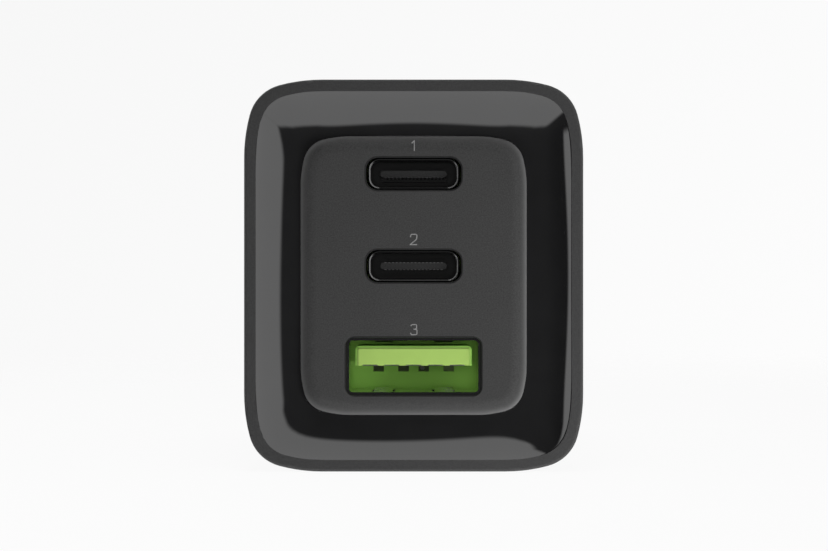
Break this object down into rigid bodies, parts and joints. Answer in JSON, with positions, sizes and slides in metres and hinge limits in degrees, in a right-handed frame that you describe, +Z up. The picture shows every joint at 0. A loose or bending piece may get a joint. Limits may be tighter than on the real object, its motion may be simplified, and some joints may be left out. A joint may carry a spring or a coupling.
{
  "type": "wall charger",
  "caption": "Compact mains wall charger: rounded dark-grey case, polished dished ring, raised panel with slim and wide charging sockets, round plug pins behind.",
  "frame": {"origin": "centre of the plug face, midway between the two pins", "axes": "+Y along the pins into the wall socket, +Z up, +X to the right as seen from the socket end, which faces -Y"},
  "size_m": [0.0328, 0.0855, 0.0378],
  "materials": {
    "shell_matte": "fine matte grain, dark grey",
    "panel_matte": "fine matte grain, dark grey",
    "frame_gloss": "polished black",
    "socket_steel": "drawn and plated",
    "slim_plastic": "moulded black",
    "wide_plastic": "moulded green",
    "contact_nickel": "dark plating",
    "contact_tin": "plated",
    "pin_nickel": "bright plating on turned brass",
    "sleeve_plastic": "moulded black",
    "strip_brass": "stamped",
    "board_green": "coated laminate",
    "chip_epoxy": "moulded black",
    "core_ferrite": "sintered and ground",
    "bobbin_plastic": "moulded black",
    "winding_tape": "yellow tape",
    "winding_copper": "enamelled copper",
    "can_aluminium": "drawn can",
    "film_case": "moulded case",
    "disc_coat": "dipped coat",
    "fuse_case": "moulded case",
    "pad_silicone": "soft pad",
    "spreader_metal": "bent sheet",
    "sheet_film": "thin sheet"
  },
  "bodies": {
    "root": {"body_shell": "shell_matte", "port_panel": "panel_matte", "front_frame": "frame_gloss", "slim_socket_upper_shell": "socket_steel", "slim_socket_lower_shell": "socket_steel", "wide_socket_shell": "socket_steel", "slim_socket_upper_insulator": "slim_plastic", "slim_socket_lower_insulator": "slim_plastic", "wide_socket_insulator": "wide_plastic", "slim_socket_upper_contacts": "contact_nickel", "slim_socket_lower_contacts": "contact_nickel", "wide_socket_contacts": "contact_tin", "plug_pin_left": "pin_nickel", "plug_pin_right": "pin_nickel", "pin_sleeve_left": "sleeve_plastic", "pin_sleeve_right": "sleeve_plastic", "pin_contact_left": "strip_brass", "pin_contact_right": "strip_brass", "port_board": "board_green", "main_board": "board_green", "protocol_chip_upper": "chip_epoxy", "protocol_chip_lower": "chip_epoxy", "optocoupler": "chip_epoxy", "power_switch": "chip_epoxy", "rectifier_switch": "chip_epoxy", "bridge_rectifier": "chip_epoxy", "transformer_core_front": "core_ferrite", "transformer_core_rear": "core_ferrite", "choke_core": "core_ferrite", "transformer_bobbin": "bobbin_plastic", "transformer_winding": "winding_tape", "choke_winding_upper": "winding_copper", "choke_winding_lower": "winding_copper", "bulk_capacitor_left": "can_aluminium", "bulk_capacitor_right": "can_aluminium", "output_capacitor_left": "can_aluminium", "output_capacitor_right": "can_aluminium", "film_capacitor": "film_case", "disc_capacitor": "disc_coat", "fuse": "fuse_case", "thermal_pad": "pad_silicone", "heat_spreader": "spreader_metal", "insulation_film": "sheet_film"}
  },
  "joints": []
}
